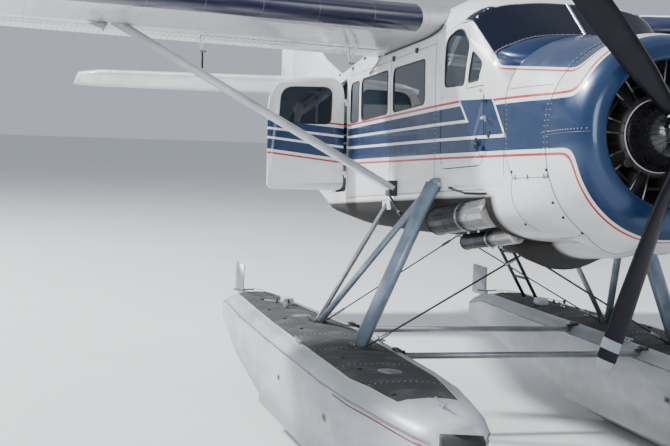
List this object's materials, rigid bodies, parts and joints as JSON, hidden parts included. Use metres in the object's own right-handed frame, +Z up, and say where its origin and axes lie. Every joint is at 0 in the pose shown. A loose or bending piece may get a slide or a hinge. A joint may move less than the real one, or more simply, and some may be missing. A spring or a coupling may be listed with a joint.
{
  "type": "floatplane",
  "caption": "High-wing floatplane with strut-braced wings, a cowled radial engine, three-blade propeller, cabin with doors, and twin floats with water rudders.",
  "frame": {"origin": "centre of the bounding box at its bottom, on the plane that the float keels rest on", "axes": "+X forward along the level floats, +Y to port, +Z up; the fuselage stands 4.16 degrees nose-up on the floats"},
  "size_m": [13.0824, 17.69, 4.5836],
  "materials": {
    "white_paint": "gloss white aircraft enamel over sheet metal",
    "blue_paint": "metallic blue enamel",
    "black_paint": "satin black",
    "float_grey_paint": "light grey and white enamel on aluminium float skins",
    "strut_paint": "blue-grey enamel",
    "engine_metal": "dark cast and machined metal",
    "exhaust_steel": "heat-darkened steel tube",
    "bare_aluminium": "bare and clear-coated aluminium",
    "window_glass": "clear glazing seen dark against the cabin",
    "black_plastic": "matt black",
    "seat_leather": "dark grey upholstery",
    "black_rubber": "matt black rubber"
  },
  "bodies": {
    "airframe": {"cabin_side_left": "white_paint", "cabin_side_right": "white_paint", "cabin_roof": "white_paint", "belly_floor": "white_paint", "cabin_glass_left": "window_glass", "cabin_glass_right": "window_glass", "quarter_glass_left": "window_glass", "quarter_glass_right": "window_glass", "windscreen_glass": "window_glass", "nose_panels": "blue_paint", "cowl_ring": "blue_paint", "engine": "engine_metal", "gear_case": "engine_metal", "exhaust_upper": "exhaust_steel", "exhaust_lower": "exhaust_steel", "belly_scoop": "black_paint", "wing_left": "white_paint", "wing_right": "white_paint", "lift_strut_left": "white_paint", "lift_strut_right": "white_paint", "tail_cone": "white_paint", "tailplane_left": "white_paint", "tailplane_right": "white_paint", "fin": "white_paint", "instrument_panel": "black_plastic", "front_seat_left": "seat_leather", "front_seat_right": "seat_leather", "rear_bench": "seat_leather", "float_left": "float_grey_paint", "float_right": "float_grey_paint", "bow_bumper_left": "black_rubber", "bow_bumper_right": "black_rubber", "spreader_bar_1": "bare_aluminium", "spreader_bar_2": "bare_aluminium", "main_struts_left": "strut_paint", "main_struts_right": "strut_paint", "rear_strut_left": "bare_aluminium", "rear_strut_right": "bare_aluminium", "boarding_ladder": "bare_aluminium"},
    "propeller": {"propeller_hub": "bare_aluminium", "blade_1": "bare_aluminium", "blade_2": "bare_aluminium", "blade_3": "bare_aluminium"},
    "cockpit_door_left": {"cockpit_door_left": "white_paint", "cockpit_door_left_glass": "window_glass"},
    "cockpit_door_right": {"cockpit_door_right": "white_paint", "cockpit_door_right_glass": "window_glass"},
    "rear_door_left": {"rear_door_left": "white_paint", "rear_door_left_glass": "window_glass"},
    "rear_door_right": {"rear_door_right": "white_paint", "rear_door_right_glass": "window_glass"},
    "flap_left": {"flap_left": "white_paint"},
    "flap_right": {"flap_right": "white_paint"},
    "aileron_left": {"aileron_left": "white_paint"},
    "aileron_right": {"aileron_right": "white_paint"},
    "elevator": {"elevator": "white_paint"},
    "rudder": {"rudder": "white_paint"},
    "water_rudder_left": {"water_rudder_left": "bare_aluminium"},
    "water_rudder_right": {"water_rudder_right": "bare_aluminium"}
  },
  "joints": [
    {"name": "propeller_spin", "type": "hinge", "parent": "airframe", "child": "propeller", "pos_m": [6.33115, 0, 2.8], "axis": [0.9974, 0, 0.0725], "continuous": true},
    {"name": "rudder_hinge", "type": "hinge", "parent": "airframe", "child": "rudder", "pos_m": [-5.71567, 0, 3.62828], "axis": [-0.0725, 0, 0.9974], "range_deg": [-25, 25]},
    {"name": "elevator_hinge", "type": "hinge", "parent": "airframe", "child": "elevator", "pos_m": [-5.38074, 0, 3.29671], "axis": [0, 1, 0], "range_deg": [-20, 25]},
    {"name": "aileron_left_hinge", "type": "hinge", "parent": "airframe", "child": "aileron_left", "pos_m": [2.14748, 6.65, 3.75099], "axis": [-0.0025, 0.9994, 0.0348], "range_deg": [-18, 18]},
    {"name": "aileron_right_hinge", "type": "hinge", "parent": "airframe", "child": "aileron_right", "pos_m": [2.14748, -6.65, 3.75099], "axis": [0.0025, 0.9994, -0.0348], "range_deg": [-18, 18]},
    {"name": "flap_left_hinge", "type": "hinge", "parent": "airframe", "child": "flap_left", "pos_m": [2.2233, 2.57, 3.4202], "axis": [-0.0025, 0.9994, 0.0348], "range_deg": [-50, 0]},
    {"name": "flap_right_hinge", "type": "hinge", "parent": "airframe", "child": "flap_right", "pos_m": [2.2233, -2.57, 3.4202], "axis": [0.0025, 0.9994, -0.0348], "range_deg": [-50, 0]},
    {"name": "cockpit_door_left_hinge", "type": "hinge", "parent": "airframe", "child": "cockpit_door_left", "pos_m": [4.67326, 0.803, 2.77968], "axis": [-0.0725, 0, 0.9974], "range_deg": [-80, 0]},
    {"name": "cockpit_door_right_hinge", "type": "hinge", "parent": "airframe", "child": "cockpit_door_right", "pos_m": [4.67326, -0.803, 2.77968], "axis": [-0.0725, 0, 0.9974], "range_deg": [0, 80]},
    {"name": "rear_door_left_hinge", "type": "hinge", "parent": "airframe", "child": "rear_door_left", "pos_m": [0.7314, 0.838, 2.59324], "axis": [-0.0725, 0, 0.9974], "range_deg": [-107, 0]},
    {"name": "rear_door_right_hinge", "type": "hinge", "parent": "airframe", "child": "rear_door_right", "pos_m": [0.7314, -0.838, 2.59324], "axis": [-0.0725, 0, 0.9974], "range_deg": [-92, 15]},
    {"name": "water_rudder_left_hinge", "type": "hinge", "parent": "airframe", "child": "water_rudder_left", "pos_m": [-1.21885, 1.5, 0.8], "axis": [0, 0, 1], "range_deg": [-30, 30]},
    {"name": "water_rudder_right_hinge", "type": "hinge", "parent": "airframe", "child": "water_rudder_right", "pos_m": [-1.21885, -1.5, 0.8], "axis": [0, 0, 1], "range_deg": [-30, 30]}
  ],
  "couplings": [
    {"joint": "aileron_right_hinge", "follows": "aileron_left_hinge", "ratio": -1},
    {"joint": "flap_right_hinge", "follows": "flap_left_hinge", "ratio": 1},
    {"joint": "water_rudder_right_hinge", "follows": "water_rudder_left_hinge", "ratio": 1}
  ]
}
